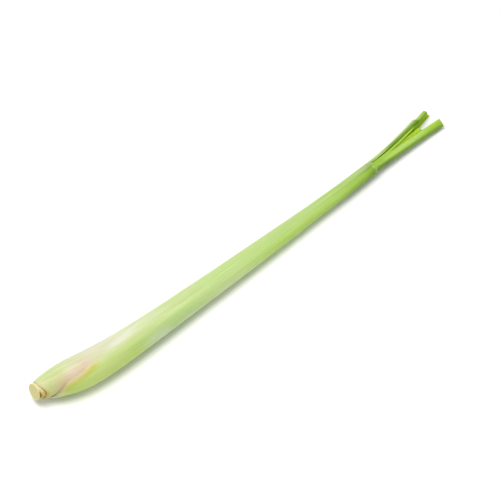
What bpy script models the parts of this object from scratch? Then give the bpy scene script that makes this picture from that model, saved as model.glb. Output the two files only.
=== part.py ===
"""A cut and trimmed lemongrass stalk, lying on a flat surface.

Units are metres, +Z is up and the stalk runs along +X, from its cut foot to its trimmed blades.
A place along the stalk is a distance on its centre line, counted from just inside the cut foot.
A leaf is a sheath rolled round the stalk as far as its collar, and a folded blade beyond that.
"""

import math

import bmesh
import bpy
import numpy as np

MM = 0.001

# The whole stalk
FRAME_START = (-204.78 * MM, -5.82 * MM)
STALK_RADIUS = (
    (0, 6.7), (3.2, 7.5), (10, 9.35), (20, 11.35), (30, 12.65), (38, 12.9), (50, 12.6), (65, 12.0),
    (80, 11.4), (100, 10.65), (130, 9.75), (172, 8.75), (206, 7.85), (240, 6.9), (268, 6.2), (300, 5.85),
    (335, 5.6), (412, 5.3),
)
WIDER_THAN_ROUND = 1.03
LOWER_THAN_ROUND = 0.94
CENTRE_HEIGHT = (
    (0, 12.2), (20, 11.95), (45, 11.5), (70, 11.05), (90, 10.75), (130, 10.15), (206, 8.95), (268, 7.85),
    (335, 6.65), (410, 3.2),
)
CENTRE_SIDEWAYS = (
    (0, 14.9), (10, 12.7), (22, 9.7), (35, 6.4), (50, 4.0), (70, 2.4), (95, 1.4), (130, 0.75),
    (170, 0.15), (235, -0.15), (290, 0.1), (335, 0.7), (410, 6.2),
)
# Half the step over which the centre line's direction is measured
NUDGE = 0.5 * MM

# What the sheaths leave between each other
GAP_AT_COLLAR = 0.28 * MM
GAP_AT_BULB = 0.42 * MM
RADIUS_AT_COLLAR = 5.6 * MM
RADIUS_AT_BULB = 12.9 * MM

# The outermost sheath. Its outer margin comes up from the underside, crosses the bulb obliquely and
# then runs along the near side, over the other margin. Angles go from the sheath's keel over its top.
OVERLAP_SPARE = 0.4 * MM
OVERLAP_MIDDLE = math.radians(-45)
OVERLAP_STARTS = (3.6 * MM, 11.0 * MM)
OVERLAP_ENDS = (300.0 * MM, 331.0 * MM)
MARGIN_ANGLE = (
    (3, 236), (8, 224), (10.5, 204), (12.4, 186), (15.6, 165), (23, 139), (29, 131), (38.5, 115),
    (42, 108.5), (60, 105), (120, 104), (335, 104),
)
TUCKED_UNDER = math.radians(34)
TUCK_STARTS = (7.0 * MM, 22.0 * MM)
TUCK_ENDS = (250.0 * MM, 300.0 * MM)
SLIT = math.radians(3)
# Dry notch in the sheath's lower edge, where the stem shows
NOTCH_DEPTH = 3.5 * MM
NOTCH_ANGLE = math.radians(158)
NOTCH_HALF_WIDTH = math.radians(76)
NOTCH_FADES = 13.0 * MM

# Rows of points, shared by every sheath so that the nested walls stay parallel
SHEATH_ROWS = (
    3.2, 5.5, 8, 10, 12, 14, 16, 18.5, 21, 24, 28, 33, 40, 50, 62, 75, 90, 108, 130, 155, 180, 206,
    232, 258, 284, 310, 324, 332, 340, 347, 353,
)
# Beyond the collar a blade's two sides open and its keel bends away, more and more steeply
BLADE_STEPS = 8
OPENING_POWER = 1.4
SLANT_POWER = 3
DROOP_POWER = 3

# The foot, cut off at a slant so that the cut face looks a little upwards
FOOT_PROFILE = (
    (-1.6, 6.15), (-1.2, 6.4), (0.8, 6.5), (2.2, 6.3), (3.4, 6.1), (6, 6.1), (8, 5.5), (12, 4.4),
    (16, 3.0), (20, 2.0),
)
FOOT_SIDES = 24
CUT_SLANT = 1.7 * MM
CUT_FACES = math.radians(121)
CUT_FADES = 5.5 * MM

# The young rolled leaf
HEART_SIDES = 10
HEART_START = 21.0 * MM
HEART_END = 387.0 * MM
HEART_NARROWS = 340.0 * MM
HEART_TIP_RADIUS = 1.2 * MM
HEART_TIP_STEPS = 4

LEAVES = (
    {
        "name": "leaf_1", "side": 1, "start": 3.2, "collar": 332, "tip": 395,
        "wall_collar": 0.62, "wall_bulb": 1.2, "blade_half": 6.7, "fold": 0.18, "crease": 26,
        "spread": 4.4, "droop": -0.15, "blade_cells": 5, "near_cells": 6, "far_cells": 8, "cut_slant": 1.6,
    },
    {
        "name": "leaf_2", "side": -1, "start": 8, "collar": 340, "tip": 408,
        "wall_collar": 0.6, "wall_bulb": 1.5, "blade_half": 6.5, "fold": 0.2, "crease": 30,
        "spread": 6.4, "droop": 0.0, "blade_cells": 5, "near_cells": 4, "far_cells": 4, "cut_slant": -1.0,
    },
    {
        "name": "leaf_3", "side": 1, "start": 12, "collar": 347, "tip": 410,
        "wall_collar": 0.6, "wall_bulb": 1.5, "blade_half": 6.0, "fold": 0.14, "crease": 32,
        "spread": 6.8, "droop": 0.3, "blade_cells": 5, "near_cells": 3, "far_cells": 3, "cut_slant": -1.5,
    },
    {
        "name": "leaf_4", "side": -1, "start": 16, "collar": 353, "tip": 391.5,
        "wall_collar": 0.6, "wall_bulb": 1.3, "blade_half": 5.2, "fold": 0.1, "crease": 24,
        "spread": 1.2, "droop": -0.5, "blade_cells": 5, "near_cells": 2, "far_cells": 2, "cut_slant": 1.5,
    },
)
SHEATH_HALF_WRAP = math.radians(176)
# An edge sharper than this is shaded as an edge
SHARP_ANGLE = math.radians(40)
# Less than this apart, two values count as equal
TINY = 1e-7

# Colour and roughness of each part
FINISHES = {
    "foot": ((0.80, 0.76, 0.47, 1.0), 0.55),
    "leaf_1": ((0.62, 0.78, 0.36, 1.0), 0.42),
    "leaf_2": ((0.50, 0.70, 0.22, 1.0), 0.42),
    "leaf_3": ((0.44, 0.68, 0.14, 1.0), 0.42),
    "leaf_4": ((0.42, 0.66, 0.14, 1.0), 0.42),
    "heart": ((0.56, 0.76, 0.22, 1.0), 0.45),
}


def ease(low, high, value):
    """0 before low, 1 after high, and smooth in between."""
    share = np.clip((np.asarray(value, float) - low) / (high - low), 0, 1)
    return share * share * (3 - 2 * share)


def through(stations, place, unit=MM):
    """A smooth curve with no overshoot through stations, given by their places in millimetres."""
    places, values = np.array(stations, float).T * np.array([[MM], [unit]])
    steps = np.diff(values) / np.diff(places)
    slopes = np.zeros(len(places))
    slopes[0], slopes[-1] = steps[0], steps[-1]
    before, after = steps[:-1], steps[1:]
    same_way = before * after > 0
    slopes[1:-1][same_way] = (2 * before * after)[same_way] / (before + after)[same_way]
    place = np.asarray(place, float)
    cell = np.clip(np.searchsorted(places, place, side="right") - 1, 0, len(places) - 2)
    span = places[cell + 1] - places[cell]
    t = (place - places[cell]) / span
    start_weight = (1 + 2 * t) * (1 - t) ** 2
    end_weight = t * t * (3 - 2 * t)
    bend = span * (t * (1 - t) ** 2 * slopes[cell] + t * t * (t - 1) * slopes[cell + 1])
    return values[cell] * start_weight + values[cell + 1] * end_weight + bend


def centre_line(place):
    """Points on the stalk's centre line."""
    place = np.asarray(place, float)
    sideways = FRAME_START[1] + through(CENTRE_SIDEWAYS, place)
    return np.stack([FRAME_START[0] + place, sideways, through(CENTRE_HEIGHT, place)], -1)


def section_frame(place):
    """Centre of the section at each place, with the unit vectors across and up in its plane."""
    along = centre_line(place + NUDGE) - centre_line(place - NUDGE)
    along /= np.linalg.norm(along, axis=-1, keepdims=True)
    across = np.stack([-along[..., 1], along[..., 0], np.zeros(along.shape[:-1])], -1)
    across /= np.linalg.norm(across, axis=-1, keepdims=True)
    return centre_line(place), across, np.cross(along, across)


def place_in_section(place, sideways, upwards):
    """Turns section coordinates into points, with the stalk's slightly flattened section."""
    centre, across, up = section_frame(place)
    return (
        centre
        + across * (sideways * WIDER_THAN_ROUND)[..., None]
        + up * (upwards * LOWER_THAN_ROUND)[..., None]
    )


def fullness(place):
    """0 where the stalk is as slim as at the collar, 1 where it is as full as the bulb."""
    radius = through(STALK_RADIUS, place)
    return np.clip((radius - RADIUS_AT_COLLAR) / (RADIUS_AT_BULB - RADIUS_AT_COLLAR), 0, 1)


def wall(leaf, place):
    """Thickness of a leaf."""
    slim, full = leaf["wall_collar"] * MM, leaf["wall_bulb"] * MM
    return slim + (full - slim) * fullness(place)


def overlap_pitch(place):
    """How far the outermost sheath winds outwards in one turn."""
    pitch = wall(LEAVES[0], place) + OVERLAP_SPARE
    return pitch * ease(*OVERLAP_STARTS, place) * (1 - ease(*OVERLAP_ENDS, place))


def sheath_radius(index, place):
    """Radius of the middle of a sheath's wall, each sheath lying inside the one before."""
    gap = GAP_AT_COLLAR + (GAP_AT_BULB - GAP_AT_COLLAR) * fullness(place)
    room = through(STALK_RADIUS, place)
    for leaf in LEAVES[:index]:
        room = room - wall(leaf, place) - gap
        if leaf is LEAVES[0]:
            room = room + overlap_shift(place, wraps(0, place)[0])
    if index == len(LEAVES):
        return room
    return room - wall(LEAVES[index], place) / 2


def overlap_shift(place, angle):
    """How far the outermost sheath lies out from its mean radius: its lower side is the outer one."""
    return -overlap_pitch(place) * (angle - OVERLAP_MIDDLE) / (2 * math.pi)


def wraps(index, place):
    """How far round a sheath reaches on its over-the-top side and on its other side."""
    if index > 0:
        wrap = np.full(np.shape(place), SHEATH_HALF_WRAP)
        return wrap, wrap
    margin = through(MARGIN_ANGLE, place, math.radians(1))
    tucked = ease(*TUCK_STARTS, place) * (1 - ease(*TUCK_ENDS, place))
    return margin - SLIT + (TUCKED_UNDER + SLIT) * tucked, 2 * math.pi - margin


def sheath_section(index, place, column_share, side_sign):
    """Places of a sheath's points, the middle of its wall towards the keel and sideways, and normals."""
    leaf = LEAVES[index]
    collar_radius = sheath_radius(index, np.array(leaf["collar"] * MM))
    blade_edge = leaf["blade_half"] * MM / collar_radius
    upper, lower = wraps(index, place)
    reach = np.where(side_sign >= 0, upper, lower)
    inner_share = np.clip(column_share, 0, 1)
    outer_share = np.clip(column_share - 1, 0, 1)
    angle = side_sign * (inner_share * blade_edge + outer_share * (reach - blade_edge))
    if index == 0:
        place = place + foot_notch(place, angle)
    radius = sheath_radius(index, place) + (overlap_shift(place, angle) if index == 0 else 0)
    return place, radius * np.cos(angle), radius * np.sin(angle), np.cos(angle), np.sin(angle)


def foot_notch(place, angle):
    """How far the outermost sheath's lower edge is drawn back, at its notch."""
    aside = np.abs((angle - NOTCH_ANGLE + math.pi) % (2 * math.pi) - math.pi)
    start = LEAVES[0]["start"] * MM
    return NOTCH_DEPTH * (1 - ease(0, NOTCH_HALF_WIDTH, aside)) * (1 - ease(start, NOTCH_FADES, place))


def blade_section(index, place, column_share, side_sign):
    """The same for a blade: two sides folded up from a creased keel, cut off at a slant."""
    leaf = LEAVES[index]
    collar, tip = leaf["collar"] * MM, leaf["tip"] * MM
    share = np.clip((place - collar) / (tip - collar), 0, 1)
    opened = share**OPENING_POWER
    collar_radius = sheath_radius(index, np.array(collar))
    half_height = collar_radius * (1 - leaf["fold"] * share)
    crease = math.radians(leaf["crease"]) * opened
    bend_radius = half_height / (1 - np.sin(crease))
    along_wall = np.clip(column_share, 0, 1) * leaf["blade_half"] * MM
    turn = np.minimum(crease + along_wall / bend_radius, math.pi / 2)
    straight = np.clip(along_wall - bend_radius * (math.pi / 2 - crease), 0, None)
    keel = collar_radius + leaf["spread"] * MM * opened
    towards_keel = keel - bend_radius * (np.cos(crease) - np.cos(turn)) - straight
    sideways = side_sign * bend_radius * (np.sin(turn) - np.sin(crease))
    on_keel = column_share < TINY
    return (
        place + leaf["cut_slant"] * MM * share**SLANT_POWER * side_sign * np.clip(column_share, 0, 1),
        towards_keel,
        sideways,
        np.where(on_keel, 1, np.cos(turn)),
        np.where(on_keel, 0, side_sign * np.sin(turn)),
    )


def leaf_surfaces(index):
    """Grids of outer and inner points of a leaf, and a mask of the cells that are leaf."""
    leaf = LEAVES[index]
    sheath_rows = [p * MM for p in SHEATH_ROWS if leaf["start"] <= p <= leaf["collar"]]
    blade_rows = np.linspace(leaf["collar"] * MM, leaf["tip"] * MM, BLADE_STEPS + 1)[1:]
    rows = np.array([*sheath_rows, *blade_rows])
    inner, near, far = leaf["blade_cells"], leaf["near_cells"], leaf["far_cells"]
    columns = np.arange(-inner - far, inner + near + 1)
    side_sign = np.where(columns < 0, -1.0, 1.0)[None, :]
    steps = np.abs(columns)[None, :]
    beyond = np.where(columns < 0, far, near)[None, :]
    column_share = np.where(steps <= inner, steps / inner, 1 + (steps - inner) / beyond)
    place = rows[:, None] + np.zeros((1, len(columns)))
    in_blade = place > leaf["collar"] * MM + TINY

    sheath = sheath_section(index, place, column_share, side_sign)
    blade = blade_section(index, place, column_share, side_sign)
    share = np.clip((place - leaf["collar"] * MM) / ((leaf["tip"] - leaf["collar"]) * MM), 0, 1)
    droop = leaf["droop"] * MM * share**DROOP_POWER
    place, towards_keel, sideways, out_keel, out_side = (
        np.where(in_blade, b, s) for b, s in zip(blade, sheath)
    )
    half_wall = wall(leaf, place) / 2

    surfaces = []
    for way in (1, -1):
        keelwards = towards_keel + way * half_wall * out_keel
        aside = sideways + way * half_wall * out_side
        points = place_in_section(place, leaf["side"] * keelwards, leaf["side"] * aside)
        points[..., 2] -= droop
        surfaces.append(points)
    cell_step = (steps[0, :-1] + steps[0, 1:]) / 2
    is_leaf = ~in_blade[1:, :-1] | (cell_step < inner)[None, :]
    return surfaces[0], surfaces[1], is_leaf


def closed_sheet(name, outer, inner, is_leaf):
    """A solid between two grids of points, over the cells of the mask, with walls round its edge."""
    rows, columns = outer.shape[:2]
    used = np.zeros((rows, columns), bool)
    for down, right in ((0, 0), (0, 1), (1, 0), (1, 1)):
        used[down : rows - 1 + down, right : columns - 1 + right] |= is_leaf
    number = -np.ones((rows, columns), int)
    number[used] = np.arange(used.sum())
    count = int(used.sum())
    points = np.concatenate([outer[used], inner[used]])
    points[:, 2] = np.maximum(points[:, 2], 0)

    faces = []
    edges = {}
    for i, j in zip(*np.nonzero(is_leaf)):
        a, b = int(number[i, j]), int(number[i, j + 1])
        d, c = int(number[i + 1, j]), int(number[i + 1, j + 1])
        for corners in ((a, b, c), (a, c, d)):
            faces.append(corners)
            faces.append(tuple(n + count for n in reversed(corners)))
        for start, end in ((a, b), (b, c), (c, d), (d, a)):
            edges[start, end] = (end, start) not in edges
            if not edges[start, end]:
                edges[end, start] = False
    for (start, end), is_edge in edges.items():
        if is_edge:
            faces.append((end, start, start + count))
            faces.append((end, start + count, end + count))
    mesh = bpy.data.meshes.new(name)
    mesh.from_pydata(points.tolist(), [], faces)
    return mesh


def rod_mesh(name, rows, radii, sides, slant=0.0):
    """A solid round rod along the centre line, its first end cut off at a slant."""
    angle = np.arange(sides) * 2 * math.pi / sides
    reach = np.array(radii)[:, None]
    cut_back = slant * (1 + reach / reach.max() * np.cos(angle - CUT_FACES))
    place = np.array(rows)[:, None]
    place = place + cut_back * (1 - np.clip((place - place[0]) / CUT_FADES, 0, 1))
    ring_points = place_in_section(place, reach * np.cos(angle), reach * np.sin(angle))
    build = bmesh.new()
    rings = [[build.verts.new(p) for p in ring] for ring in ring_points]
    for lower, upper in zip(rings, rings[1:]):
        for k in range(sides):
            following = (k + 1) % sides
            build.faces.new((lower[k], lower[following], upper[following], upper[k]))
    build.faces.new(rings[0][::-1])
    build.faces.new(rings[-1])
    bmesh.ops.recalc_face_normals(build, faces=build.faces[:])
    mesh = bpy.data.meshes.new(name)
    build.to_mesh(mesh)
    build.free()
    return mesh


def foot_mesh():
    """The cut stem with the rim that the first sheath grew from, narrowing to a cone inside the bulb."""
    rows = [place * MM for place, _ in FOOT_PROFILE]
    radii = [radius * MM for _, radius in FOOT_PROFILE]
    return rod_mesh("foot", rows, radii, FOOT_SIDES, CUT_SLANT)


def heart_mesh():
    """The rolled young leaf that fills the innermost sheath and ends in a trimmed tip."""
    rows = np.array([p * MM for p in SHEATH_ROWS if p * MM > HEART_START])
    rows = np.concatenate([[HEART_START], rows, np.linspace(rows[-1], HEART_END, HEART_TIP_STEPS + 1)[1:]])
    inside = sheath_radius(len(LEAVES), rows)
    narrowing = ease(HEART_NARROWS, HEART_END, rows)
    radii = inside * (1 - narrowing) + HEART_TIP_RADIUS * narrowing
    return rod_mesh("heart", rows, radii, HEART_SIDES)


def finish(mesh):
    """Makes the node, with its own material and smooth shading."""
    colour, roughness = FINISHES[mesh.name]
    material = bpy.data.materials.new(mesh.name)
    material.diffuse_color = colour
    material.use_nodes = True
    surface = material.node_tree.nodes["Principled BSDF"]
    surface.inputs["Base Color"].default_value = colour
    surface.inputs["Roughness"].default_value = roughness
    surface.inputs["Metallic"].default_value = 0.0
    mesh.materials.append(material)
    mesh.shade_smooth()
    mesh.set_sharp_from_angle(angle=SHARP_ANGLE)
    node = bpy.data.objects.new(mesh.name, mesh)
    bpy.context.scene.collection.objects.link(node)
    return node


def main():
    for old in list(bpy.data.objects):
        bpy.data.objects.remove(old)
    finish(foot_mesh())
    for index, leaf in enumerate(LEAVES):
        finish(closed_sheet(leaf["name"], *leaf_surfaces(index)))
    finish(heart_mesh())


main()
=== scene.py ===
# A trimmed lemongrass stalk in fine detail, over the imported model.
# Sizes here are in millimetres until they become mesh points, which are in metres.
import math

import bpy
import numpy as np
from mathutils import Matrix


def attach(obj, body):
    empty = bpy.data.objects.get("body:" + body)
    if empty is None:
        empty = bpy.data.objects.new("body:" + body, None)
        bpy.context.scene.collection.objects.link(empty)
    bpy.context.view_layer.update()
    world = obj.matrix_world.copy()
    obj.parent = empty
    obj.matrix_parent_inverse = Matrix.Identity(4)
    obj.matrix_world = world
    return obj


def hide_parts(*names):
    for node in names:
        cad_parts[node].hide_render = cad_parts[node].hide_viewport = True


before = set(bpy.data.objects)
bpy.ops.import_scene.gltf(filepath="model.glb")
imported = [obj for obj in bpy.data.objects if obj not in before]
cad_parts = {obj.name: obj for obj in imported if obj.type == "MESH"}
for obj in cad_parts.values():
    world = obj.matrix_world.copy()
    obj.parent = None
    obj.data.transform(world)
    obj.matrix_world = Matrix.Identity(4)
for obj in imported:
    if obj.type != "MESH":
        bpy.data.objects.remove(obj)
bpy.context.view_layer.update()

mm = 0.001
print("frame loaded:", sorted(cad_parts))


# The stalk's shape, shared by everything on it. A place is the distance from the cut foot.
stalk = {
    "start": (-204.78, -5.82),
    "radius": ((0, 6.7), (3.2, 7.5), (10, 9.35), (20, 11.35), (30, 12.65), (38, 12.9), (50, 12.6),
               (65, 12.0), (80, 11.4), (100, 10.65), (130, 9.75), (172, 8.75), (206, 7.85), (240, 6.9),
               (268, 6.2), (300, 5.85), (335, 5.6), (412, 5.3)),
    "height": ((0, 12.2), (20, 11.95), (45, 11.5), (70, 11.05), (90, 10.75), (130, 10.15), (206, 8.95),
               (268, 7.85), (335, 6.65), (410, 3.2)),
    "sideways": ((0, 14.9), (10, 12.7), (22, 9.7), (35, 6.4), (50, 4.0), (70, 2.4), (95, 1.4),
                 (130, 0.75), (170, 0.15), (235, -0.15), (290, 0.1), (335, 0.7), (410, 6.2)),
    "wider": 1.03,          # the section is a little wider than it is high
    "lower": 0.94,
    "gapCollar": 0.28,      # between one sheath and the next
    "gapBulb": 0.42,
    "slimRadius": 5.6,
    "fullRadius": 12.9,
}

overlap = {                 # the outer sheath winds over itself
    "spare": 0.4,
    "starts": (3.6, 11),
    "ends": (300, 331),
    # in degrees round from the far side, over the top
    "margin": ((3, 236), (8, 224), (10.5, 204), (12.4, 186), (15.6, 165), (23, 139), (29, 131), (38.5, 115),
               (42, 108.5), (60, 105), (120, 104), (335, 104)),
    "tucked": math.radians(34),
    "tuckStarts": (7, 22),
    "tuckEnds": (250, 300),
    "slit": math.radians(3),
    "notchDepth": 3.5,      # the foot edge is drawn back here, and the stem shows
    "notchAngle": math.radians(158),
    "notchWidth": math.radians(76),
    "notchFades": 13,
    "centred": math.pi / 4,         # the winding neither lifts nor sinks the sheath here
    "worn": (0.022, 0.004),         # unevenness of the margin in radians: on the bulb, and everywhere
    "wornComes": (12, 20),
    "wornGoes": (46, 80),
    "wornPaces": (0.3, 1.9),
    "wornFine": 0.35,
    "wornShift": 3,
    "pressed": 0.62,        # how far the free margin is pressed onto the layer beneath
    "pressedWidth": 3.2,
    "pressedLike": 30.0,    # the place where the pressing is a full one
    "hugsStem": 0.42,       # the sheath's foot edge lies against the stem
    "hugsFor": 2.2,
}

leaves = {
    "leaf_1": {"side": 1, "start": 3.2, "collar": 332, "tip": 395, "wallCollar": 0.62, "wallBulb": 1.2,
               "bladeHalf": 6.7, "fold": 0.18, "crease": 26, "spread": 4.4, "droop": -0.15, "slant": 1.6,
               "bladeCells": 30, "nearCells": 34, "farCells": 52,
               "rows": ((3.2, 14, 22), (14, 60, 46), (60, 300, 70), (300, 332, 24), (332, 395, 60))},
    "leaf_2": {"side": -1, "start": 8, "collar": 340, "tip": 408, "wallCollar": 0.6, "wallBulb": 1.5,
               "bladeHalf": 6.5, "fold": 0.2, "crease": 30, "spread": 6.4, "droop": 0, "slant": -1.0,
               "bladeCells": 30, "nearCells": 16, "farCells": 16,
               "rows": ((8, 40, 24), (40, 320, 40), (320, 340, 12), (340, 408, 76))},
    "leaf_3": {"side": 1, "start": 12, "collar": 347, "tip": 410, "wallCollar": 0.6, "wallBulb": 1.5,
               "bladeHalf": 6.0, "fold": 0.14, "crease": 32, "spread": 6.8, "droop": 0.3, "slant": -1.5,
               "bladeCells": 30, "nearCells": 14, "farCells": 14,
               "rows": ((12, 40, 10), (40, 320, 40), (320, 347, 14), (347, 410, 70))},
    "leaf_4": {"side": -1, "start": 16, "collar": 353, "tip": 391.5, "wallCollar": 0.6, "wallBulb": 1.3,
               "bladeHalf": 5.2, "fold": 0.1, "crease": 24, "spread": 1.2, "droop": -0.5, "slant": 1.5,
               "bladeCells": 26, "nearCells": 6, "farCells": 6,
               "rows": ((16, 40, 8), (40, 320, 40), (320, 353, 16), (353, 391.5, 52))},
}
leafNames = list(leaves)
halfWrap = math.radians(176)

# One number for each uneven thing; a leaf adds its own hundred to the small ones
seeds = {
    "margin": 11, "marginFine": 12, "rim": 1, "footEdge": 2, "wave": 3, "cut": 4, "cutFine": 5,
    "ribWander": 6, "ribFades": 7, "swell": 8, "ripple": 9, "paleRim": 20,
    "stemSide": 401, "stemBumps": 402, "sawn": 403, "yearRings": 404, "stemRim": 405, "heartCut": 501,
}


def ease(low, high, value):
    share = np.clip((np.asarray(value, float) - low) / (high - low), 0, 1)
    return share * share * (3 - 2 * share)


def hump(value, middle, width):
    return np.exp(-(((value - middle) / width) ** 2))


# Comes in between the first two stations and goes out between the last two
def inAndOut(stations, place):
    comes, full, fades, gone = stations
    return ease(comes, full, place) * (1 - ease(fades, gone, place))


# A smooth curve through stations, with no overshoot
def through(stations, place):
    places, values = np.array(stations, float).T
    steps = np.diff(values) / np.diff(places)
    slopes = np.zeros(len(places))
    slopes[0], slopes[-1] = steps[0], steps[-1]
    before, after = steps[:-1], steps[1:]
    sameWay = before * after > 0
    slopes[1:-1][sameWay] = (2 * before * after)[sameWay] / (before + after)[sameWay]
    place = np.asarray(place, float)
    cell = np.clip(np.searchsorted(places, place, side="right") - 1, 0, len(places) - 2)
    span = places[cell + 1] - places[cell]
    t = (place - places[cell]) / span
    bend = span * (t * (1 - t) ** 2 * slopes[cell] + t * t * (t - 1) * slopes[cell + 1])
    return values[cell] * (1 + 2 * t) * (1 - t) ** 2 + values[cell + 1] * t * t * (3 - 2 * t) + bend


wavePaces = (0.6, 1.7)
waveShift = 6.28            # at most, about a full turn
waveSpread = 1.4


# Smooth irregularity between about -1 and 1: a few waves of mixed directions
def unevenness(u, v, seed, waves=6):
    draw = np.random.default_rng(seed)
    total = 0
    for wave in range(waves):
        turn = draw.uniform(0, 2 * math.pi)
        pace = draw.uniform(*wavePaces)
        along = math.cos(turn) * u + math.sin(turn) * v
        total = total + np.sin(pace * along + draw.uniform(0, waveShift))
    return total / math.sqrt(waves * waveSpread)


def centreLine(place):
    place = np.asarray(place, float)
    x = stalk["start"][0] + place
    y = stalk["start"][1] + through(stalk["sideways"], place)
    return np.stack([x, y, through(stalk["height"], place)], -1)


# Points in metres, from places and from distances sideways and upwards in the stalk's section
def toPoints(place, sideways, upwards):
    along = centreLine(place + 0.5) - centreLine(place - 0.5)
    along /= np.linalg.norm(along, axis=-1, keepdims=True)
    across = np.stack([-along[..., 1], along[..., 0], np.zeros(along.shape[:-1])], -1)
    across /= np.linalg.norm(across, axis=-1, keepdims=True)
    up = np.cross(along, across)
    aside = across * (sideways * stalk["wider"])[..., None]
    above = up * (upwards * stalk["lower"])[..., None]
    return (centreLine(place) + aside + above) * mm


def fullness(place):
    slim, full = stalk["slimRadius"], stalk["fullRadius"]
    return np.clip((through(stalk["radius"], place) - slim) / (full - slim), 0, 1)


def wall(leaf, place):
    return leaf["wallCollar"] + (leaf["wallBulb"] - leaf["wallCollar"]) * fullness(place)


def overlapPitch(place):
    pitch = wall(leaves["leaf_1"], place) + overlap["spare"]
    return pitch * ease(*overlap["starts"], place) * (1 - ease(*overlap["ends"], place))


def overlapShift(place, angle):
    return -overlapPitch(place) * (angle + overlap["centred"]) / (2 * math.pi)


# The outer margin is cut and worn a little unevenly, most where it crosses the bulb
def marginAngle(place):
    plain = np.radians(through(overlap["margin"], place))
    onBulb, everywhere = overlap["worn"]
    worn = onBulb * ease(*overlap["wornComes"], place) * (1 - ease(*overlap["wornGoes"], place)) + everywhere
    coarse, fine = overlap["wornPaces"]
    slow = unevenness(place * coarse, 0, seeds["margin"])
    quick = unevenness(place * fine, overlap["wornShift"], seeds["marginFine"])
    return plain + worn * slow + overlap["wornFine"] * worn * quick


def wraps(name, place):
    if name != "leaf_1":
        wrap = np.full(np.shape(place), halfWrap)
        return wrap, wrap
    margin = marginAngle(place)
    tuck = ease(*overlap["tuckStarts"], place) * (1 - ease(*overlap["tuckEnds"], place))
    return margin - overlap["slit"] + (overlap["tucked"] + overlap["slit"]) * tuck, 2 * math.pi - margin


# Radius of the middle of a sheath's wall: each sheath lies inside the one before
def sheathRadius(name, place):
    gap = stalk["gapCollar"] + (stalk["gapBulb"] - stalk["gapCollar"]) * fullness(place)
    room = through(stalk["radius"], place)
    for outer in leafNames:
        if outer == name:
            return room - wall(leaves[outer], place) / 2
        room = room - wall(leaves[outer], place) - gap
        if outer == "leaf_1":
            room = room + overlapShift(place, wraps(outer, place)[0])
    return room


def footNotch(place, angle):
    aside = np.abs((angle - overlap["notchAngle"] + math.pi) % (2 * math.pi) - math.pi)
    depth = overlap["notchDepth"] * (1 - ease(0, overlap["notchWidth"], aside))
    return depth * (1 - ease(leaves["leaf_1"]["start"], overlap["notchFades"], place))


# Paces are how fast a thing changes along the stalk and round it.
detail = {
    "ribsRound": 46,        # lengthwise ribs round a sheath
    "ribHeight": 0.055,
    "ribShare": (0.45, 0.55),       # of that height where the stalk is slim, and what the bulb adds
    "ribWander": 0.6,
    "ribWanderPaces": (0.01, 2),
    "ribFades": (0.65, 0.35),
    "ribFadesPaces": (0.012, 14),
    "ribInside": 0.4,
    "swellHeight": 0.13,    # slow swells of the surface
    "swellPaces": (0.035, 2.2),
    "rippleShare": 0.4,
    "ripplePaces": (0.012, 7),
    "settles": (0, 8),      # the foot end is smooth
    "marginThin": 0.34,     # a margin's thickness as a share of the wall
    "marginWidth": 3.0,
    "footEdgeWidth": 3.2,
    "footEdgeStarts": 0.9,
    "thinsOnBlade": (0, 6),
    "midribHeight": 0.22,
    "midribWidth": 0.8,
    "midribAlong": (250, 335),
    "collarHeight": 0.16,
    "collarBack": 1.1,
    "collarWidth": 0.75,
    "collarInner": 0.4,     # the inner leaves' collars are lower
    "ragged": 0.45,         # the sheath's top edge
    "raggedMiddle": 0.9,
    "raggedPace": 9,
    "raggedFrom": 7,        # this far below the collar
    "raggedShares": (1.0, 1.12),
    "footRagged": 0.22,     # the sheath's foot edge
    "footRaggedPace": 6,
    "footRaggedFor": 5,
    "jagged": 0.32,         # the blade's cut end
    "jaggedFrom": 5,
    "jaggedPaces": (7, 38),
    "jaggedFine": 0.5,
    "jaggedBack": 0.6,
    "waviness": 0.22,       # of the blade's margins
    "wavePace": 0.35,
    "waveApart": 4,         # keeps the two margins' waves different
    "opens": 1.4,           # how late a blade unfolds
    "bends": 3,             # how late it droops and how its slant sets in
}
hair = 1e-6                 # steers clear of rounding right at the collar and the keel


def paced(grid, paces, seed):
    return unevenness(grid["row"] * paces[0], grid["angle"] * paces[1], grid["seed"] + seeds[seed])


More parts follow.
